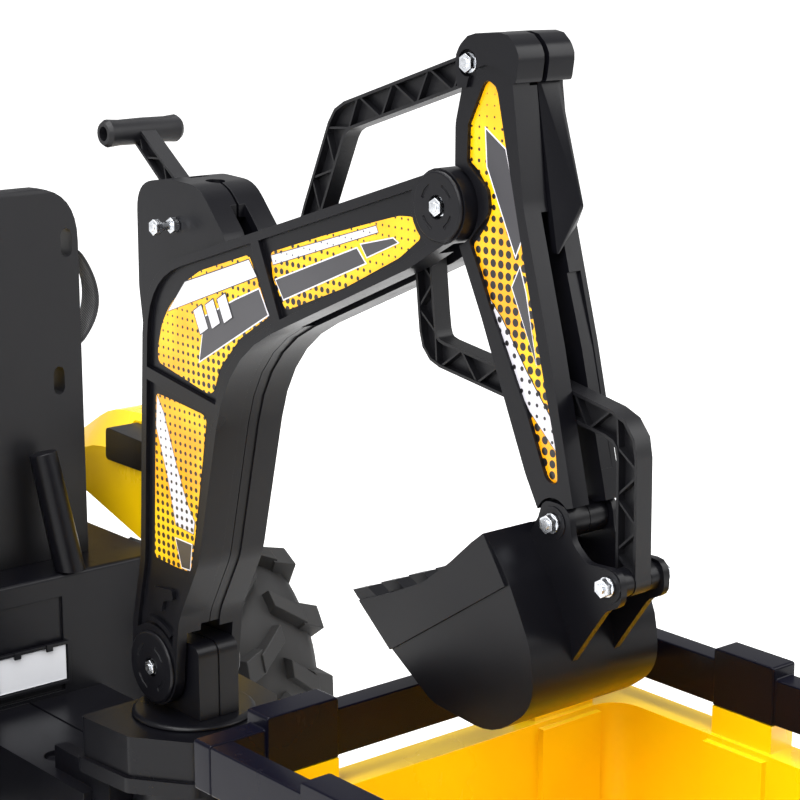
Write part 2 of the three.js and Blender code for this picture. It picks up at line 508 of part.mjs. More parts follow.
function buildSeat() {
  const half = 111;
  const profile = rounded([[SEAT_X, LEDGE_Z + GAP], [SEAT_X, 421, 7], [374, 421, 8], [400, 46, 50],
    [594, 46, 22], [606, LEDGE_Z + GAP]]);
  const front = wall(rounded([[-half, 0], [-half, 421, 62], [half, 421, 62], [half, 0]]), 340, 640);
  const slots = [[96, 358, 7], [81, 206, 7]].flatMap(([y, z, r]) => [y, -y].map((centre) =>
    wall([...circle([centre, z + 9], r, 4, 0, 180), ...circle([centre, z - 9], r, 4, 180, 360)], 340, 420)));
  add('seat', cut(slab(profile, -half, half).intersect(front), ...slots), 'satin');

  for (const [name, side] of Object.entries(SIDES)) {
    const post = strut([307, side * 60, LEDGE_Z - 10], [333, side * 44, 134], 17, 15.5, 16);
    add(`seat_strut_${name}`, cut(post, box(250, 370, -120, 120, -200, LEDGE_Z + GAP)), 'satin');
  }
  // the lap belt hangs in a loop from the right edge of the seat back
  const loop = band([[-half - 2.5, 348], [-half - 26, 298, 14], [-half - 2.5, 240]], 3);
  add('seat_belt', wall(loop, SEAT_X + 4, SEAT_X + 32), 'webbing');
}

function buildFenders() {
  // the fender is crowned: its outline shrinks towards its inner and outer edges
  const crest = (shrink) => rounded([[226 + shrink, 6], [232 + shrink, 30 - shrink * 0.2, 20],
    [266 + shrink * 0.7, 100 - shrink, 60], [340, 144 - shrink, 70], [460, 136 - shrink, 120],
    [548 - shrink * 0.7, 84 - shrink, 60], [574 - shrink, 10]]);
  const wheelRoom = circle([REAR_WHEEL.x, REAR_WHEEL.z], REAR_WHEEL.radius + 8, 48, 20, 160);
  const underneath = [[200, -30], [232, 14], [345, 8], [472, 45], [545, 26], [600, -30]];
  const hollow = [[244, -20], [266, 50], [340, 84], [460, 80], [536, 40], [545, -20]];
  for (const [name, side] of Object.entries(SIDES)) {
    const crown = wasm.Manifold.hull([slab(crest(36), ...layer(side, 175, 178)),
      slab(crest(0), ...layer(side, 214, 250)), slab(crest(8), ...layer(side, 258, FENDER_OUTER))]);
    const skin = cut(crown, slab(underneath, ...layer(side, 170, 300)),
      slab(wheelRoom, ...layer(side, 182, 300)), slab(hollow, ...layer(side, 184, FENDER_OUTER - 6)));
    const rest = slab(rounded([[226, 93.5, 6], [214, 106, 4], [300, 128, 6], [396, 132, 6], [398, 93.5, 6]]),
      ...layer(side, 165, 206));
    const restSeat = slab(rounded([[225.5, 93], [213, 106, 4], [300, 128.5, 6], [396, 200], [398.5, 93]]),
      ...layer(side, 160, 206.5));
    add(`fender_${name}`, cut(skin, restSeat), 'yellow');
    add(`armrest_${name}`, rest, 'black');
  }
}

function buildFront() {
  const profile = rounded([[782, -60], [782, 150, 30], [1000, 128, 90], [1072, 84, 40], [1080, -60]]);
  const body = slab(profile, -138, 138);
  const inside = rounded([[788, -70], [788, 144, 26], [998, 122, 80], [1066, 80, 36], [1074, -70]]);
  const room = slab(inside, -130, 130);
  const lampHoles = Object.values(SIDES).map((side) => rodX([side * 84, 20], 27, 1040, 1100, 20));
  add('bonnet', cut(body, room, ...lampHoles), 'yellow');
  for (const [name, side] of Object.entries(SIDES)) {
    const lens = solid(new THREE.LatheGeometry([[0, 0], [26.4, 0], [26.4, 26], [20, 33], [0, 36]]
      .map(([r, h]) => new THREE.Vector2(r, h)), 20).rotateZ(-Math.PI / 2).translate(1050, side * 84, 20));
    add(`headlight_${name}`, lens, 'plate');
  }
  const bumper = slab(rounded([[1081, -178], [1081, -90], [FRONT, -96, 4], [FRONT, -172, 4]]), -130, 130);
  add('bumper', bumper, 'black');

  const column = strut(COLUMN.top, COLUMN.foot, 13, 16, 20);
  add('steering_column', cut(column, box(781.6, 900, -60, 60, -60, 200)), 'black');
  const way = new THREE.Vector3(...COLUMN.top).sub(new THREE.Vector3(...COLUMN.foot)).normalize();
  const turn = new THREE.Quaternion().setFromUnitVectors(new THREE.Vector3(0, 0, 1), way);
  const place = (geometry) => solid(geometry.applyQuaternion(turn)
    .translate(...new THREE.Vector3(...COLUMN.top).addScaledVector(way, 14).toArray()));
  const ring = place(new THREE.TorusGeometry(92, 10, 6, 22));
  const spokes = [90, 210, 330].map((angle) =>
    place(new THREE.BoxGeometry(84, 22, 8).translate(47, 0, 0).rotateZ(degrees(angle))));
  const hub = place(new THREE.CylinderGeometry(24, 30, 26, 28).rotateX(Math.PI / 2));
  add('steering_wheel', join(ring, ...spokes, hub), 'black');

  const [px, pz] = PEDAL_HINGE;
  const sole = slab(
    rounded([[px - 6, pz + 2], [px + 62, pz + 34, 3], [px + 58, pz + 42, 3], [px - 10, pz + 10]]),
    PEDAL_Y - 26, PEDAL_Y + 26);
  add('pedal', join(sole, rodY([px, pz], 7.5, PEDAL_Y - 30, PEDAL_Y + 30, 20)), 'black');
}

// ---------------------------------------------------------------- wheels
/** A toothed outline: blocks stand out from a round tyre. */
function toothed(at, radius, height, count) {
  return Array.from({ length: count }, (_, i) => [[0, radius - height], [0.12, radius], [0.42, radius],
    [0.54, radius - height]].map(([share, r]) => {
    const angle = degrees(((i + share) * 360) / count);
    return [at[0] + r * Math.cos(angle), at[1] + r * Math.sin(angle)];
  })).flat();
}

/** A hub, dished rim and tyre as one moulding; tread is the number of blocks around each shoulder. */
function wheel({ x, z, radius, inner, outer }, side, bore, tread = 0) {
  const at = [x, z];
  const width = outer - inner;
  const height = tread ? radius * 0.08 : 0;
  const crown = radius - height * 1.7;
  const rim = radius * 0.6;
  const edge = [[0, 0.14], [radius * 0.22, 0.14], [rim * 0.86, 0.26], [rim, 0.04], [radius * 0.8, 0],
    [crown, 0.2]];
  const near = edge.map(([r, share]) => [r, side * (outer - share * width)]);
  const far = edge.map(([r, share]) => [r, side * (inner + share * width)]);
  const profile = side > 0 ? [...far, ...near.reverse()] : [...near, ...far.reverse()];
  const blocks = tread
    ? [slab(toothed(at, radius, height, tread), ...layer(side, inner + width * 0.08, outer - width * 0.08))]
    : [];
  const pockets = [8, 80, 152, 224, 296].map((turn) =>
    slab(ringPart(at, radius * 0.29, rim * 0.78, turn, turn + 44, 2),
      ...layer(side, outer - width * 0.34, outer)));
  return cut(join(turned(profile, at, 26), ...blocks), ...pockets, rodY(at, bore, -400, 400, 24));
}

function buildWheels() {
  const axleEnd = REAR_WHEEL.outer - 4;
  add('rear_axle', rodY([REAR_WHEEL.x, REAR_WHEEL.z], 10, -axleEnd, axleEnd, 10), 'steel');
  for (const [name, side] of Object.entries(SIDES)) {
    add(`rear_wheel_${name}`, wheel(REAR_WHEEL, side, 10 + GAP, 14), 'tyre');
    add(`front_wheel_${name}`, wheel(FRONT_WHEEL, side, 7 + GAP), 'tyre');
    const knuckle = join(
      rodZ([FRONT_WHEEL.x, side * KINGPIN_Y], 11, -237.4, -214.6, 12),
      rodZ([FRONT_WHEEL.x, side * KINGPIN_Y], 5, -252, -200, 10),
      rodY([FRONT_WHEEL.x, FRONT_WHEEL.z], 7, ...layer(side, KINGPIN_Y, FRONT_WHEEL.outer - 4), 10));
    add(`steering_knuckle_${name}`, knuckle, 'steel');
    add(`trailer_wheel_${name}`, wheel(TRAILER_WHEEL, side, 8 + GAP), 'tyre');
  }
}

// ---------------------------------------------------------------- trailer
const BOARD = 22;
const LUG_TOP = TRAILER.bottom - GAP;
// the raised lengths of each board, between two distances from the middle of the board
const FRONT_POSTS = [[-182, -110], [110, 182]];
const SIDE_POSTS = [[-564, -497], [-760, -693]];

const POST_PROUD = 3;

/** The outline of a board, or of one of its raised sleeves, between two ends. */
const boardOutline = (from, to, top) =>
  rounded([[from, TRAILER.bottom], [from, top, 3], [to, top, 3], [to, TRAILER.bottom]]);

function buildTrailer() {
  const { front, rear, half, rim } = TRAILER;
  for (const [name, x] of [['front', front - BOARD], ['rear', rear]]) {
    const sleeves = FRONT_POSTS.map(([a, b]) =>
      wall(boardOutline(a, b, TRAILER.tall), x - POST_PROUD, x + BOARD + POST_PROUD));
    const board = wall(boardOutline(-half, half, TRAILER.low), x, x + BOARD);
    add(`fence_${name}`, join(board, ...sleeves), 'gloss');
  }
  for (const [name, side] of Object.entries(SIDES)) {
    const board = boardOutline(rear + BOARD + GAP, front - BOARD - GAP, TRAILER.low);
    const sleeves = SIDE_POSTS.map(([a, b]) =>
      slab(boardOutline(a, b, TRAILER.tall), ...layer(side, half - BOARD - POST_PROUD, half + POST_PROUD)));
    add(`fence_${name}`, join(slab(board, ...layer(side, half - BOARD, half)), ...sleeves), 'gloss');
  }

  const inner = { front: front - BOARD - 8, rear: rear + BOARD + 8, half: half - BOARD - 8 };
  const loop = (grow, radius) => rounded([
    [inner.front + grow, -inner.half - grow, radius], [inner.front + grow, inner.half + grow, radius],
    [inner.rear - grow, inner.half + grow, radius], [inner.rear - grow, -inner.half - grow, radius]]);
  const shell = join(plate(loop(6, 36), -118, rim - 4), plate(loop(34, 22), rim - 9, rim));
  const postWalls = [
    ...FRONT_POSTS.flatMap(([a, b]) => [front - BOARD, rear].map((x) =>
      box(x - POST_PROUD, x + BOARD + POST_PROUD, a, b, rim - 2, LUG_TOP))),
    ...SIDE_POSTS.flatMap(([a, b]) => Object.values(SIDES).map((side) =>
      box(a, b, ...layer(side, half - BOARD - POST_PROUD, half + POST_PROUD), rim - 2, LUG_TOP)))];
  const pilasters = [
    ...FRONT_POSTS.flatMap(([a, b]) => [box(inner.front - 6, inner.front + 2, a, b, -112, rim - 5),
      box(inner.rear - 2, inner.rear + 6, a, b, -112, rim - 5)]),
    ...SIDE_POSTS.flatMap(([a, b]) => Object.values(SIDES).map((side) =>
      box(a, b, ...layer(side, inner.half - 6, inner.half + 2), -112, rim - 5)))];
  const floorRibs = [-0.5, 0, 0.5].map((share) =>
    box(inner.rear - 2, inner.front + 2, share * inner.half - 5, share * inner.half + 5, -112, -105));
  const tub = cut(shell, plate(loop(0, 32), -110, 60));
  add('trailer_tub', join(tub, ...postWalls, ...pilasters, ...floorRibs), 'yellow');

  const bar = join(box(-420, HITCH_X, -17, 17, -165.6, -148), rodZ([HITCH_X, 0], 24, -165.6, -148, 16),
    box(-440, -404, -60, 60, -165.6, -118.4));
  add('trailer_drawbar', cut(bar, rodZ([HITCH_X, 0], 5 + GAP, -180, -140)), 'black');
  const pinHead = rodZ([HITCH_X, 0], 10, -147.6, -140, 24);
  add('hitch_pin', join(rodZ([HITCH_X, 0], 5, -186, -143, 16), pinHead), 'zinc');
  const { x, z } = TRAILER_WHEEL;
  const bracket = rounded([[x - 60, -118.4], [x + 60, -118.4], [x + 16, z - 14, 12], [x - 16, z - 14, 12]]);
  const brackets = Object.values(SIDES).map((side) => slab(bracket, ...layer(side, 146, 154)));
  add('trailer_axle', join(rodY([x, z], 8, -218, 218, 10), ...brackets,
    box(x - 60, x + 60, -154, 154, -126, -118.4)), 'steel');
}

buildTurret();
buildBoom();
buildLever();
buildLinks();
buildStick();
buildBucket();
buildPedestal();
buildHull();
buildSeat();
buildFenders();
buildFront();
buildWheels();
buildTrailer();

object.name = 'ride_on_digger';
object.position.set(-(FRONT + REAR) / 2, 0, -FLOOR);

export default object;
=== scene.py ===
"""The looks of the ride-on digger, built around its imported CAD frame.

Lengths in the tables are millimetres from the boom's foot pivot, as [x, z] in the plane of the arm,
with +X forwards, +Y to the rider's left and +Z up. at() turns them into the frame's metres.
"""
import json
import math

import bmesh
import bpy
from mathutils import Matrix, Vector
from mathutils.geometry import tessellate_polygon


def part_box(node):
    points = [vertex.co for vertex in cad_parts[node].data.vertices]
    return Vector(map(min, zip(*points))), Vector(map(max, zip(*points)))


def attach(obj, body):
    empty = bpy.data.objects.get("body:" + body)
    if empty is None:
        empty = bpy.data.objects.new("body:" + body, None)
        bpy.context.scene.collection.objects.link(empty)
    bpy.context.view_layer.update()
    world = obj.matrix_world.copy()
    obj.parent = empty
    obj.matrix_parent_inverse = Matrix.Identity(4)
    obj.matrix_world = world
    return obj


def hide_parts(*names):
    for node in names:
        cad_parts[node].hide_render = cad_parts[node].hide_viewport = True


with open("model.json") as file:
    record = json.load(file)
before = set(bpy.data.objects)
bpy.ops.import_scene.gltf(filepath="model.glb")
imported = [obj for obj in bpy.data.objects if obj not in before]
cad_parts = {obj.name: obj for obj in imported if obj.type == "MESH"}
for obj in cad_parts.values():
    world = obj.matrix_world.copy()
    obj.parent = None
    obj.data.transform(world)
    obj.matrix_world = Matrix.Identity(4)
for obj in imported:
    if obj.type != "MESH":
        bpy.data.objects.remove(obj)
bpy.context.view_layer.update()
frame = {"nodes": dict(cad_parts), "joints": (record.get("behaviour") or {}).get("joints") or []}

JOINT = {joint["name"]: Vector(joint["pos_m"]) for joint in frame["joints"]}
FOOT = JOINT["boom_lift"]
MM = 0.001
SIDES = {"left": 1, "right": -1}

# how far from the middle plane the sunk panels of the boom and the stick lie
BOOM_PANEL_Y = 33.0
STICK_PANEL_Y = 22.2
FOIL = 0.3  # thickness of a decal


def at(x, y, z):
    """A point given in millimetres from the boom's foot pivot, in the frame's metres."""
    return FOOT + Vector((x, y, z)) * MM


# ------------------------------------------------------------------ node materials
class Shader:
    """A material's node tree, with short names for the few nodes that are used here."""

    def __init__(self, name):
        self.material = bpy.data.materials.new(name)
        self.material.use_nodes = True
        self.tree = self.material.node_tree
        self.surface = self.tree.nodes["Principled BSDF"]
        self.place = self.add("ShaderNodeTexCoord").outputs["Object"]

    def add(self, kind, **settings):
        node = self.tree.nodes.new(kind)
        for key, value in settings.items():
            setattr(node, key, value)
        return node

    def link(self, source, target):
        self.tree.links.new(source, target)

    def feed(self, socket, value):
        if isinstance(value, bpy.types.NodeSocket):
            self.link(value, socket)
        else:
            socket.default_value = value

    def math(self, operation, a, b=0.0):
        node = self.add("ShaderNodeMath", operation=operation)
        self.feed(node.inputs[0], a)
        self.feed(node.inputs[1], b)
        return node.outputs[0]

    def noise(self, scale, detail=3.0, stretch=(1, 1, 1)):
        mapping = self.add("ShaderNodeMapping")
        self.link(self.place, mapping.inputs["Vector"])
        mapping.inputs["Scale"].default_value = stretch
        node = self.add("ShaderNodeTexNoise")
        self.link(mapping.outputs[0], node.inputs["Vector"])
        node.inputs["Scale"].default_value = scale
        node.inputs["Detail"].default_value = detail
        return node.outputs["Fac"]

    def ramp(self, value, low, high, to_low, to_high):
        node = self.add("ShaderNodeMapRange")
        self.feed(node.inputs["Value"], value)
        limits = {"From Min": low, "From Max": high, "To Min": to_low, "To Max": to_high}
        for key, number in limits.items():
            self.feed(node.inputs[key], number)
        return node.outputs[0]

    def mix(self, share, a, b):
        node = self.add("ShaderNodeMix", data_type="RGBA")
        self.feed(node.inputs["Factor"], share)
        self.feed(node.inputs[6], a)
        self.feed(node.inputs[7], b)
        return node.outputs[2]

    def bump(self, height, strength, distance):
        node = self.add("ShaderNodeBump")
        self.link(height, node.inputs["Height"])
        node.inputs["Strength"].default_value = strength
        node.inputs["Distance"].default_value = distance
        self.link(node.outputs[0], self.surface.inputs["Normal"])

    def set(self, **values):
        names = {"color": "Base Color", "roughness": "Roughness", "metallic": "Metallic",
                 "coat": "Coat Weight", "coat_roughness": "Coat Roughness",
                 "specular": "Specular IOR Level", "sheen": "Sheen Weight"}
        for key, value in values.items():
            self.feed(self.surface.inputs[names[key]], value)


def rgba(red, green, blue):
    """A display colour of 0 to 255 in each channel as linear light."""
    def linear(channel):
        share = channel / 255
        return share / 12.92 if share <= 0.04045 else ((share + 0.055) / 1.055) ** 2.4
    return (linear(red), linear(green), linear(blue), 1.0)


def plastic(name, color, worn, roughness, grain=0.0, coat=0.0, specular=0.5):
    """Moulded plastic: slow colour drift, uneven gloss, faint handling marks and a fine mould grain."""
    shader = Shader(name)
    drift = shader.noise(9.0, 4.0)
    marks = shader.ramp(shader.noise(60.0, 6.0, (1, 1, 0.25)), 0.62, 0.75, 0.0, 1.0)
    blend = shader.ramp(drift, 0.35, 0.7, 0.0, 0.6)
    shader.set(color=shader.mix(blend, color, worn), coat=coat, coat_roughness=0.08, specular=specular)
    base = shader.ramp(drift, 0.3, 0.7, roughness - 0.05, roughness + 0.05)
    shader.set(roughness=shader.math("ADD", base, shader.math("MULTIPLY", marks, 0.07)))
    if grain:
        shader.bump(shader.noise(2600.0, 2.0), grain, 0.0002)
    else:
        shader.bump(shader.noise(14.0, 2.0), 0.06, 0.004)
    return shader.material


def metal(name, color, roughness):
    """Plated steel, with the fine turning lines and cloudy plating of small hardware."""
    shader = Shader(name)
    cloud = shader.noise(220.0, 4.0)
    lines = shader.noise(900.0, 2.0, (1, 0.05, 1))
    dull = tuple(channel * 0.72 for channel in color[:3]) + (1.0,)
    shader.set(color=shader.mix(shader.ramp(cloud, 0.4, 0.7, 0.0, 1.0), color, dull), metallic=1.0)
    shader.set(roughness=shader.ramp(cloud, 0.3, 0.7, roughness - 0.06, roughness + 0.1))
    shader.bump(lines, 0.15, 0.0002)
    return shader.material


def printed_foil(name, ground, deep, pitch, dots, grow):
    """A printed decal: a mottled ground under a square halftone of black dots, which grow one way.

    pitch is the dots' spacing in millimetres. dots is their radius as a share of the pitch, at the two
    ends of grow, which is ((x, z) start, (x, z) end) in millimetres from the foot pivot."""
    shader = Shader(name)
    cloud = shader.ramp(shader.noise(16.0, 2.0), 0.45, 0.68, 0.0, 1.0)
    colour = shader.mix(cloud, ground, deep)
    mapping = shader.add("ShaderNodeMapping", vector_type="TEXTURE")
    shader.link(shader.place, mapping.inputs["Vector"])
    mapping.inputs["Scale"].default_value = (pitch * MM,) * 3
    cell = shader.add("ShaderNodeVectorMath", operation="FRACTION")
    shader.link(mapping.outputs[0], cell.inputs[0])
    parts = shader.add("ShaderNodeSeparateXYZ")
    shader.link(cell.outputs[0], parts.inputs[0])
    u = shader.math("SUBTRACT", parts.outputs["X"], 0.5)
    v = shader.math("SUBTRACT", parts.outputs["Z"], 0.5)
    squares = shader.math("ADD", shader.math("MULTIPLY", u, u), shader.math("MULTIPLY", v, v))
    reach = shader.math("SQRT", squares)
    start, end = (at(p[0], 0, p[1]) for p in grow)
    way = end - start
    along = shader.add("ShaderNodeVectorMath", operation="DOT_PRODUCT")
    shader.link(shader.place, along.inputs[0])
    along.inputs[1].default_value = way / way.length_squared
    begin = start.dot(way) / way.length_squared
    radius = shader.ramp(along.outputs["Value"], begin, begin + 1.0, dots[0], dots[1])
    edge = shader.math("SUBTRACT", reach, radius)
    ink = shader.ramp(edge, -0.03, 0.03, 1.0, 0.0)
    shader.set(color=shader.mix(ink, colour, rgba(18, 16, 18)), roughness=0.34, coat=0.2, specular=0.35)
    shader.bump(shader.noise(40.0, 2.0), 0.05, 0.001)
    return shader.material


def woven(name, color):
    """Belt webbing: diagonal ribs of yarn across a strap."""
    shader = Shader(name)
    wave = shader.add("ShaderNodeTexWave", wave_type="BANDS", bands_direction="DIAGONAL")
    shader.link(shader.place, wave.inputs["Vector"])
    wave.inputs["Scale"].default_value = 210.0
    wave.inputs["Distortion"].default_value = 0.6
    rib = wave.outputs["Fac"]
    light = tuple(min(channel * 2.6, 1.0) for channel in color[:3]) + (1.0,)
    shader.set(color=shader.mix(rib, color, light), roughness=0.85, sheen=0.3, specular=0.2)
    shader.bump(rib, 0.8, 0.0008)
    return shader.material


BLACK = plastic("black_moulding", rgba(9, 9, 13), rgba(14, 14, 18), 0.32, grain=0.12, specular=0.18)
SATIN = plastic("grained_moulding", rgba(13, 13, 16), rgba(20, 20, 23), 0.42, grain=0.35, specular=0.26)
GLOSS = plastic("gloss_black", rgba(6, 6, 17), rgba(10, 10, 21), 0.22, specular=0.1)
YELLOW = plastic("yellow_moulding", rgba(246, 201, 3), rgba(243, 193, 3), 0.3, coat=0.2)
TYRE = plastic("tyre_moulding", rgba(27, 27, 28), rgba(36, 35, 35), 0.6, grain=0.4, specular=0.4)
LENS = plastic("lamp_lens", rgba(225, 228, 232), rgba(206, 210, 216), 0.12, coat=1.0)
BLANK = plastic("plate_blank", rgba(205, 206, 210), rgba(190, 192, 197), 0.35)
WHITE = plastic("foil_white", rgba(206, 204, 210), rgba(197, 195, 201), 0.32, coat=0.3)
INK = plastic("foil_ink", rgba(20, 20, 22), rgba(26, 26, 28), 0.32, coat=0.3)
CHARCOAL = plastic("foil_charcoal", rgba(42, 41, 46), rgba(36, 35, 40), 0.32, coat=0.3)
ZINC = metal("bright_zinc", rgba(214, 217, 222), 0.24)
STEEL = metal("dark_steel", rgba(92, 94, 98), 0.42)
WEBBING = woven("belt_webbing", rgba(26, 26, 28))

GOLD = rgba(232, 176, 0)
AMBER = rgba(226, 148, 0)
PALE = rgba(192, 190, 197)
PALE_SHADE = rgba(196, 194, 200)
FOIL_MATERIALS = {
    "upper": printed_foil("foil_upper", GOLD, AMBER, 8.0, (0.06, 0.38), ((-35, 400), (-130, 300))),
    "lower": printed_foil("foil_lower", GOLD, AMBER, 8.0, (0.2, 0.34), ((-40, 275), (-60, 140))),
    "long": printed_foil("foil_long", GOLD, AMBER, 8.0, (0.14, 0.38), ((-250, 470), (-230, 395))),
    "stick": printed_foil("foil_stick", GOLD, AMBER, 8.6, (0.06, 0.38), ((-450, 585), (-478, 455))),
    "white": printed_foil("foil_white_dots", PALE, PALE_SHADE, 8.0, (0.10, 0.28),
                          ((-20, 270), (-60, 150))),
    "pale": printed_foil("foil_pale_dots", PALE, PALE_SHADE, 8.6, (0.30, 0.16),
                         ((-475, 430), (-530, 340))),
}

# ------------------------------------------------------------------ finish of the CAD nodes
# node: (material, bevel width in millimetres)
FINISH = {
    "turntable": (BLACK, 1.0), "turret_stand": (BLACK, 1.6), "boom_*_shell": (BLACK, 1.4),
    "foot_cap_*": (BLACK, 0.5), "elbow_cap_*": (BLACK, 0.5), "lever_housing": (BLACK, 2.4),
    "stick_*_shell": (BLACK, 1.4), "bucket": (BLACK, 1.6), "pedestal": (BLACK, 2.5),
    "body_tub": (BLACK, 2.0), "bumper": (BLACK, 2.5), "steering_column": (BLACK, 1.0),
    "steering_wheel": (SATIN, 1.5), "pedal": (BLACK, 1.0), "armrest_*": (BLACK, 3.0),
    "trailer_drawbar": (BLACK, 2.0), "number_plate": (BLACK, 0.5), "t_lever": (SATIN, 0.7),
    "upper_link": (SATIN, 0.6), "lower_link": (SATIN, 0.6), "bucket_link": (SATIN, 0.6),
    "seat": (SATIN, 3.5), "seat_strut_*": (BLACK, 1.5), "battery": (SATIN, 2.0),
    "fence_*": (GLOSS, 2.2), "fender_*": (YELLOW, 4.0), "bonnet": (YELLOW, 4.0),
    "trailer_tub": (YELLOW, 2.0), "*_bolt": (ZINC, 0.4), "*_pin": (ZINC, 0.4),
    "rear_axle": (STEEL, 0.6), "steering_knuckle_*": (STEEL, 0.6),
    "trailer_axle": (STEEL, 0.8), "headlight_*": (LENS, 0.8), "*_wheel_*": (TYRE, 1.5),
}


def matches(node, pattern):
    """Whether a node's name fits a pattern with one star in it."""
    head, star, tail = pattern.partition("*")
    if not star:
        return node == pattern
    return node.startswith(head) and node.endswith(tail) and len(node) > len(head) + len(tail)


def soften(piece, width, merge_flats=True):
    """Rounds a hard-edged piece's edges and evens its shading."""
    piece.data.polygons.foreach_set("use_smooth", [True] * len(piece.data.polygons))
    weld = piece.modifiers.new("weld", "WELD")
    weld.merge_threshold = 0.00002
    if merge_flats:
        planar = piece.modifiers.new("planar", "DECIMATE")
        planar.decimate_type = "DISSOLVE"
        planar.angle_limit = math.radians(0.6)
    bevel = piece.modifiers.new("bevel", "BEVEL")
    bevel.width = width * MM
    bevel.segments = 2
    bevel.limit_method = "ANGLE"
    bevel.angle_limit = math.radians(34)
    bevel.use_clamp_overlap = True
    bevel.miter_outer = "MITER_ARC"
    shade = piece.modifiers.new("shade", "WEIGHTED_NORMAL")
    shade.keep_sharp = False
    shade.weight = 80


def paint(piece, material):
    piece.data.materials.clear()
    piece.data.materials.append(material)


def finish_cad_nodes():
    """Paints and softens the CAD nodes; the trailer's tub has slivers in its corners that don't merge."""
    for node, piece in frame["nodes"].items():
        for pattern, (material, width) in FINISH.items():
            if matches(node, pattern):
                paint(piece, material)
                soften(piece, width, merge_flats=node != "trailer_tub")
                break


# ------------------------------------------------------------------ new pieces
def mesh_piece(name, bm, material, body):
    """A new object from a bmesh, in the frame's metres, riding on a body."""
    bmesh.ops.recalc_face_normals(bm, faces=bm.faces)
    data = bpy.data.meshes.new(name)
    bm.to_mesh(data)
    bm.free()
    piece = bpy.data.objects.new(name, data)
    bpy.context.scene.collection.objects.link(piece)
    paint(piece, material)
    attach(piece, body)
    return piece


def foil(name, outline, side, lift, material, body):
    """A flat decal in the plane of the arm: outline in [x, z], lift from the middle plane."""
    bm = bmesh.new()
    low = [bm.verts.new(at(x, side * lift, z)) for x, z in outline]
    high = [bm.verts.new(at(x, side * (lift + FOIL), z)) for x, z in outline]
    for triangle in tessellate_polygon([[Vector((x, z, 0)) for x, z in outline]]):
        bm.faces.new([low[i] for i in triangle])
        bm.faces.new([high[i] for i in triangle])
    for i in range(len(outline)):
        j = (i + 1) % len(outline)
        bm.faces.new((low[i], low[j], high[j], high[i]))
    return mesh_piece(name, bm, material, body)


def smooth_outline(corners, radius):
    """Rounds every corner of an outline by about the same radius."""
    points = []
    count = len(corners)
    for i, corner in enumerate(corners):
        here = Vector(corner)
        before = Vector(corners[i - 1]) - here
        after = Vector(corners[(i + 1) % count]) - here
        reach = min(radius, before.length * 0.45, after.length * 0.45)
        start = here + before.normalized() * reach
        end = here + after.normalized() * reach
        for step in (0.0, 0.33, 0.67, 1.0):
            points.append(tuple(start.lerp(here, step).lerp(here.lerp(end, step), step)))
    return points


def grown(outline, distance):
    """An outline moved outwards by a distance, about its own middle line."""
    area = sum(a[0] * b[1] - b[0] * a[1] for a, b in zip(outline, outline[1:] + outline[:1]))
    sign = 1 if area > 0 else -1
    out = []
    count = len(outline)
    for i, corner in enumerate(outline):
        into = (Vector(corner) - Vector(outline[i - 1])).normalized()
        away = (Vector(outline[(i + 1) % count]) - Vector(corner)).normalized()
        side = (into + away).normalized()
        lean = max(side.dot(into), 0.45)
        out.append((corner[0] + sign * side.y * distance / lean, corner[1] - sign * side.x * distance / lean))
    return out


# the printed shapes on each panel: (name, outline, material, edge material, edge width)
UPPER_GROUND = [(-161.9, 424.5), (-177.4, 397.1), (-190, 373.5), (-146.5, 347.3), (-115, 315.3),
                (-104.9, 291.4), (-95.3, 287.8), (-15.8, 304.5), (-15.6, 317.7), (-23.3, 341.7),
                (-33.8, 357.4), (-62.5, 386.6), (-86.7, 400.2)]
UPPER_SHAPES = [
    ("band", [(-161.5, 419.8), (-172.6, 406.5), (-34.4, 355.7), (-62.5, 386.6)], WHITE, INK, 1.0),
    ("shard", [(-93.1, 358.8), (-141.4, 381.3), (-175.9, 395.6), (-188.6, 374.9), (-83.7, 316.6)],
     CHARCOAL, WHITE, 1.3),
    ("bar_a", [(-76, 362), (-88, 369), (-98, 349), (-86, 342)], WHITE, INK, 1.0),
    ("bar_b", [(-95, 370), (-107, 377), (-117, 357), (-105, 350)], WHITE, INK, 1.0),
    ("bar_c", [(-114, 378), (-126, 385), (-136, 365), (-124, 358)], WHITE, INK, 1.0),
]
LOWER_GROUND = [(-10.5, 274), (-42.3, 271.5), (-86.8, 267), (-92, 262.8), (-85.4, 226.7), (-70.2, 149.5),
                (-61.1, 109.7), (-35.6, 109), (-1.1, 111), (-6.5, 210.9)]
LOWER_SHAPES = [
    ("streak", [(-12.4, 271.7), (-22.6, 256.9), (-39.9, 213.8), (-57.4, 176.5), (-69.6, 160.8),
                (-67.2, 148.5), (-38.6, 151), (-26.4, 196.1), (-9.5, 241.3)], "white", INK, 0.7),
    ("chip", [(-38, 137.5), (-64, 137.1), (-60.2, 112), (-47.1, 111.5)], CHARCOAL, WHITE, 1.0),
]
LONG_GROUND = [(-193.3, 430.5), (-196.6, 407.5), (-214.2, 382.4), (-296.5, 414), (-365.9, 447.7),
               (-391.9, 466.4), (-390.5, 472.4), (-383.9, 482.9), (-365.9, 481.8), (-336.9, 473.8),
               (-266.1, 453.4)]
LONG_SHAPES = [
    ("band", [(-194.6, 427.8), (-336.9, 470.3), (-339.3, 465.3), (-197.2, 420.3)], "white", INK, 0.7),
    ("shard", [(-201, 407.4), (-312, 448.7), (-322.9, 438), (-211.7, 392.1)], CHARCOAL, WHITE, 1.2),
    ("shard_b", [(-318, 452.7), (-358.7, 462.7), (-364.5, 460), (-325.4, 443.4)], CHARCOAL, WHITE, 1.0),
]
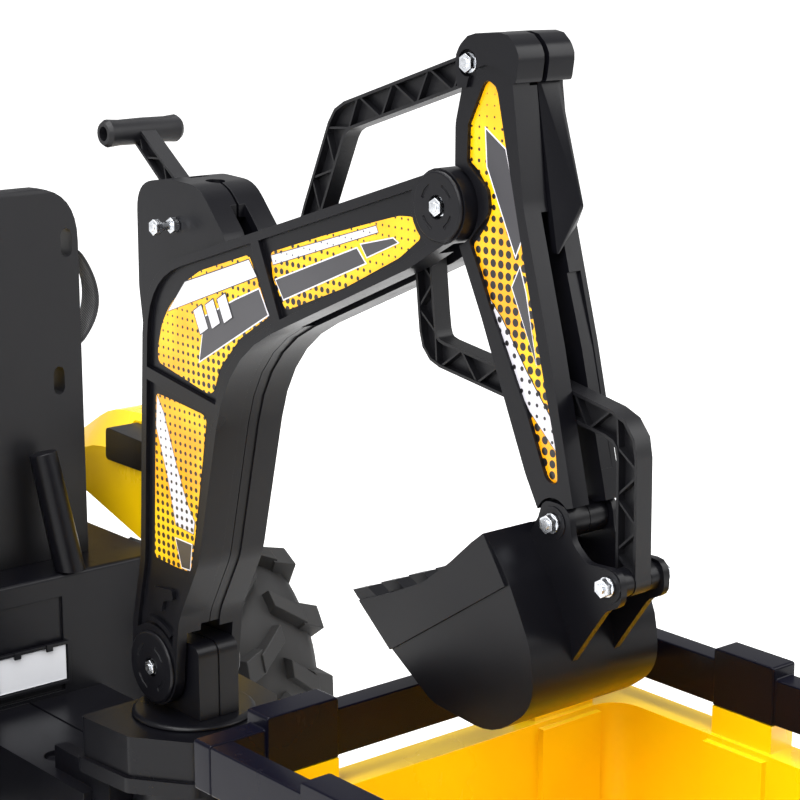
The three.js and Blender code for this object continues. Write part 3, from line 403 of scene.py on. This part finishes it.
STICK_GROUND = [(-459.8, 595), (-450.8, 589.5), (-446, 580.4), (-439, 566.2), (-436.8, 553.8), (-437, 532),
                (-447.5, 526), (-460.5, 510.5), (-462, 499), (-461, 488.3), (-450, 474), (-442, 467),
                (-465, 422.8), (-480.7, 393.6), (-511.8, 338.8), (-529.6, 298.5), (-538, 294), (-543, 302.8),
                (-539.5, 321.6), (-528, 367), (-507, 447.9), (-494.8, 501.3), (-482, 551.4), (-475, 581),
                (-471, 591)]
STICK_SHAPES = [
    ("shard", [(-456, 557.4), (-477.8, 543.9), (-497.8, 479.6), (-490.5, 464.3), (-458, 529.2)],
     CHARCOAL, WHITE, 1.2),
    ("shard_b", [(-495.7, 455.4), (-502.4, 437.1), (-515, 384.3), (-487.5, 439.5)], CHARCOAL, WHITE, 1.0),
    ("streak", [(-458, 431), (-476, 414), (-504.7, 376.6), (-533.8, 343), (-539.6, 319.4), (-509.5, 346),
                (-487.6, 373.7)], "pale", INK, 0.7),
]
PANELS = [
    ("upper", UPPER_GROUND, UPPER_SHAPES, BOOM_PANEL_Y, "boom"),
    ("lower", LOWER_GROUND, LOWER_SHAPES, BOOM_PANEL_Y, "boom"),
    ("long", LONG_GROUND, LONG_SHAPES, BOOM_PANEL_Y, "boom"),
    ("stick", STICK_GROUND, STICK_SHAPES, STICK_PANEL_Y, "stick"),
]
INK_STEP = 0.1  # each printed layer stands this much above the one below


def build_decals():
    for panel, ground, shapes, lift, body in PANELS:
        for hand, side in SIDES.items():
            label = f"decal_{panel}_{hand}"
            outline = smooth_outline(ground, 5.0)
            foil(label, outline, side, lift + INK_STEP, FOIL_MATERIALS[panel], body)
            for level, (shape, points, material, rim, width) in enumerate(shapes, 1):
                height = lift + (2 * level) * INK_STEP
                foil(f"{label}_{shape}_edge", grown(points, width), side, height, rim, body)
                foil(f"{label}_{shape}", points, side, height + INK_STEP,
                     FOIL_MATERIALS.get(material, material), body)


def build_plate():
    """The blank number plate: a light panel with a raised edge in the CAD frame's opening."""
    low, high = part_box("number_plate")
    inset = 5.0 * MM
    x = low.x + 4.6 * MM
    y0, y1 = low.y + inset, high.y - inset
    z0, z1 = low.z + inset, low.z + 50 * MM - inset
    bm = bmesh.new()
    bmesh.ops.create_cube(bm, size=1.0)
    for vert in bm.verts:
        vert.co = Vector((x + vert.co.x * 0.8 * MM, (y0 + y1) / 2 + vert.co.y * (y1 - y0),
                          (z0 + z1) / 2 + vert.co.z * (z1 - z0)))
    front = min(bm.faces, key=lambda face: face.calc_center_median().x)
    bmesh.ops.inset_individual(bm, faces=[front], thickness=1.6 * MM, depth=-0.3 * MM)
    plate = mesh_piece("plate_face", bm, BLANK, "chassis")


# ------------------------------------------------------------------ wheels
WHEELS = {
    # node: (spin joint, radius, half width, bore's radius, tread blocks around each shoulder)
    "rear_wheel": ("rear_spin", 175.0, 58.5, 10.8, 13),
    "front_wheel": ("front_spin", 115.0, 36.0, 8.8, 0),
    "trailer_wheel": ("trailer_spin", 100.0, 27.0, 8.8, 0),
}
ROUND = 72  # segments around a wheel
SPOKES = 6


def ring(bm, centre, profile, side, segments=ROUND):
    """Turns a closed profile of (radius, outward) in millimetres about the wheel's axis."""
    rows = []
    for i in range(segments):
        angle = 2 * math.pi * i / segments
        across, up = math.cos(angle), math.sin(angle)
        rows.append([bm.verts.new(centre + Vector((r * across, side * out, r * up)) * MM)
                     for r, out in profile])
    count = len(profile)
    for i in range(segments):
        a, b = rows[i], rows[(i + 1) % segments]
        for j in range(count):
            k = (j + 1) % count
            bm.faces.new((a[j], a[k], b[k], b[j]))


def block(bm, centre, side, start, end, r0, r1, width):
    """A tread block between two (angle, outward) ends, from radius r0 to r1."""
    corners = []
    for angle, out in (start, end):
        for turn in (-0.5, 0.5):
            for r, slim in ((r0, 1.0), (r1, 0.78)):
                a = angle + turn * width * slim / r
                corners.append(bm.verts.new(
                    centre + Vector((r * math.cos(a), side * out, r * math.sin(a))) * MM))
    a, b, c, d, e, f, g, h = corners
    for face in ((a, b, d, c), (e, g, h, f), (a, e, f, b), (c, d, h, g), (b, f, h, d), (a, c, g, e)):
        bm.faces.new(face)


def build_wheel(kind, hand, side):
    spin, radius, half, bore, blocks = WHEELS[kind]
    node = f"{kind}_{hand}"
    centre = JOINT[f"{spin}_{hand}"].copy()
    low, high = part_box(node)
    centre.y = (low.y + high.y) / 2
    lug = radius * 0.09 if blocks else radius * 0.02
    carcass = radius - lug
    rim = radius * 0.6
    bm = bmesh.new()
    ring(bm, centre, [
        (rim - 2, -half * 0.86), (rim + 3, -half * 0.96), (radius * 0.72, -half),
        (carcass - 14, -half * 0.94), (carcass - 3, -half * 0.72), (carcass, -half * 0.4),
        (carcass, half * 0.4), (carcass - 3, half * 0.72), (carcass - 14, half * 0.94),
        (radius * 0.72, half), (rim + 3, half * 0.96), (rim - 2, half * 0.86), (rim - 4, 0)], side)
    step = 2 * math.pi / max(blocks, 1)
    for i in range(blocks):
        for shoulder, phase in ((1, 0.0), (-1, 0.5)):
            angle = (i + phase) * step
            block(bm, centre, side, (angle, shoulder * half * 0.02),
                  (angle + step * 0.34, shoulder * half * 0.62), carcass - 4, radius, radius * 0.15)
            block(bm, centre, side, (angle + step * 0.30, shoulder * half * 0.55),
                  (angle + step * 0.42, shoulder * half * 0.98), carcass - 24, radius * 0.985,
                  radius * 0.20)
    if not blocks:
        for i in range(3):
            out = (i - 1) * half * 0.42
            ring(bm, centre, [(carcass - 1, out - half * 0.15), (radius, out - half * 0.11),
                              (radius, out + half * 0.11), (carcass - 1, out + half * 0.15)], side)
    tyre = mesh_piece(f"tyre_{kind}_{hand}", bm, TYRE, node)
    soften(tyre, 1.2)
    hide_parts(node)

    bm = bmesh.new()
    hub = radius * 0.2
    ring(bm, centre, [
        (bore, -half * 0.70), (hub, -half * 0.70), (hub + 4, -half * 0.3), (rim * 0.8, -half * 0.25),
        (rim - 5, -half * 0.84), (rim - 2.4, -half * 0.84), (rim - 4.4, 0), (rim - 2.4, half * 0.84),
        (rim - 6, half * 0.84), (rim * 0.84, half * 0.32), (hub + 7, half * 0.36), (hub, half * 0.68),
        (bore, half * 0.68)], side)
    for i in range(SPOKES):
        angle = 2 * math.pi * i / SPOKES
        block(bm, centre, side, (angle, half * 0.1), (angle, half * 0.5), hub + 2, rim * 0.86, 11.0)
    disc = mesh_piece(f"rim_{kind}_{hand}", bm, BLACK, node)
    soften(disc, 1.0)

    bm = bmesh.new()
    cap = hub * 0.82
    ring(bm, centre, [(0.4, half * 0.70), (cap, half * 0.70), (cap, half * 0.78), (cap * 0.8, half * 0.86),
                      (0.4, half * 0.9)], side, 40)
    cover = mesh_piece(f"hub_cap_{kind}_{hand}", bm, YELLOW, node)
    soften(cover, 0.6)


def build_wheels():
    for kind in WHEELS:
        for hand, side in SIDES.items():
            build_wheel(kind, hand, side)


# ------------------------------------------------------------------ belt
BELT_WIDTH = 30.0 * MM
BELT_THICKNESS = 1.4 * MM
BELT_STEPS = 28  # lengths along the loop


def build_belt():
    """The belt's loop: a strap that leaves the seat's edge, folds over and goes back."""
    low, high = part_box("seat_belt")
    middle = (low + high) / 2
    reach = high.y - low.y
    tall = high.z - low.z
    bm = bmesh.new()
    rows = []
    spine = []
    for i in range(BELT_STEPS + 1):
        share = i / BELT_STEPS
        bulge = math.sin(math.pi * share) ** 0.8
        spine.append(Vector((middle.x, high.y - 1.5 * MM - bulge * (reach - 3 * MM),
                             high.z - 2 * MM - share * (tall - 4 * MM))))
    for i, point in enumerate(spine):
        share = i / BELT_STEPS
        lean = math.radians(16 * math.sin(math.pi * share * 1.2))
        across = Vector((math.cos(lean), math.sin(lean) * 0.4, math.sin(lean)))
        rows.append([bm.verts.new(point + across * BELT_WIDTH * (j / 4 - 0.5)) for j in range(5)])
    for a, b in zip(rows, rows[1:]):
        for j in range(4):
            bm.faces.new((a[j], a[j + 1], b[j + 1], b[j]))
    strap = mesh_piece("belt_loop", bm, WEBBING, "chassis")
    strap.data.polygons.foreach_set("use_smooth", [True] * len(strap.data.polygons))
    solid = strap.modifiers.new("thickness", "SOLIDIFY")
    solid.thickness = BELT_THICKNESS
    solid.offset = 0.0
    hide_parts("seat_belt")


# ------------------------------------------------------------------ stage
# the floor's own light: low under the object, so its soft shadow shows, and brighter further off
FLOOR_GLOW = {"near": (1.0, 0.34), "far": (3.6, 0.85)}  # (distance in metres, strength)
WORLD_STRENGTH = 0.5
LAMPS = {
    # name: (place in millimetres from the foot pivot, size in metres, power in watts)
    "key": ((-1500, 2200, 1900), (2.0, 2.0), 95.0),
    "top": ((-100, 200, 2600), (2.4, 1.6), 110.0),
    "rim": ((-1700, -1700, 1500), (1.2, 1.8), 30.0),
}
LAMP_TARGET = (-200, 0, 250)


def build_stage():
    bm = bmesh.new()
    bmesh.ops.create_grid(bm, x_segments=1, y_segments=1, size=30.0)
    data = bpy.data.meshes.new("floor")
    bm.to_mesh(data)
    bm.free()
    floor = bpy.data.objects.new("floor", data)
    bpy.context.scene.collection.objects.link(floor)
    shader = Shader("floor_white")
    shader.set(color=rgba(244, 244, 244), roughness=0.9, specular=0.1)
    shader.surface.inputs["Emission Color"].default_value = (1, 1, 1, 1)
    (near, low), (far, high) = FLOOR_GLOW["near"], FLOOR_GLOW["far"]
    away = shader.add("ShaderNodeVectorMath", operation="LENGTH")
    shader.link(shader.place, away.inputs[0])
    shader.link(shader.ramp(away.outputs["Value"], near, far, low, high),
                shader.surface.inputs["Emission Strength"])
    paint(floor, shader.material)

    world = bpy.data.worlds.new("studio")
    world.use_nodes = True
    world.node_tree.nodes["Background"].inputs["Color"].default_value = (1, 1, 1, 1)
    world.node_tree.nodes["Background"].inputs["Strength"].default_value = WORLD_STRENGTH
    bpy.context.scene.world = world
    bpy.context.scene.view_settings.view_transform = "Standard"

    for name, (place, size, power) in LAMPS.items():
        lamp = bpy.data.lights.new(name, "AREA")
        lamp.shape = "RECTANGLE"
        lamp.size, lamp.size_y = size
        lamp.energy = power
        light = bpy.data.objects.new(name, lamp)
        light.location = at(*place)
        light.rotation_mode = "QUATERNION"
        light.rotation_quaternion = (at(*LAMP_TARGET) - at(*place)).to_track_quat("-Z", "Y")
        bpy.context.scene.collection.objects.link(light)


CAMERA_PLACE = (-1694.5, 1148.2, 739.0)
CAMERA_YAW = math.radians(40.02)
CAMERA_PITCH = math.radians(13.24)
FOCAL_LENGTH = 98.64
SENSOR_WIDTH = 36.0


def build_camera():
    """Stands behind and to the left of the vehicle, and looks slightly down on the arm."""
    level = math.cos(CAMERA_PITCH)
    way = Vector((math.cos(CAMERA_YAW) * level, -math.sin(CAMERA_YAW) * level, -math.sin(CAMERA_PITCH)))
    lens = bpy.data.cameras.new("camera")
    lens.lens = FOCAL_LENGTH
    lens.sensor_width = SENSOR_WIDTH
    lens.clip_end = 100.0
    camera = bpy.data.objects.new("camera", lens)
    camera.location = at(*CAMERA_PLACE)
    camera.rotation_mode = "QUATERNION"
    camera.rotation_quaternion = way.to_track_quat("-Z", "Y")
    bpy.context.scene.collection.objects.link(camera)
    bpy.context.scene.camera = camera


build_camera()
build_stage()
finish_cad_nodes()
build_decals()
build_plate()
build_wheels()
build_belt()
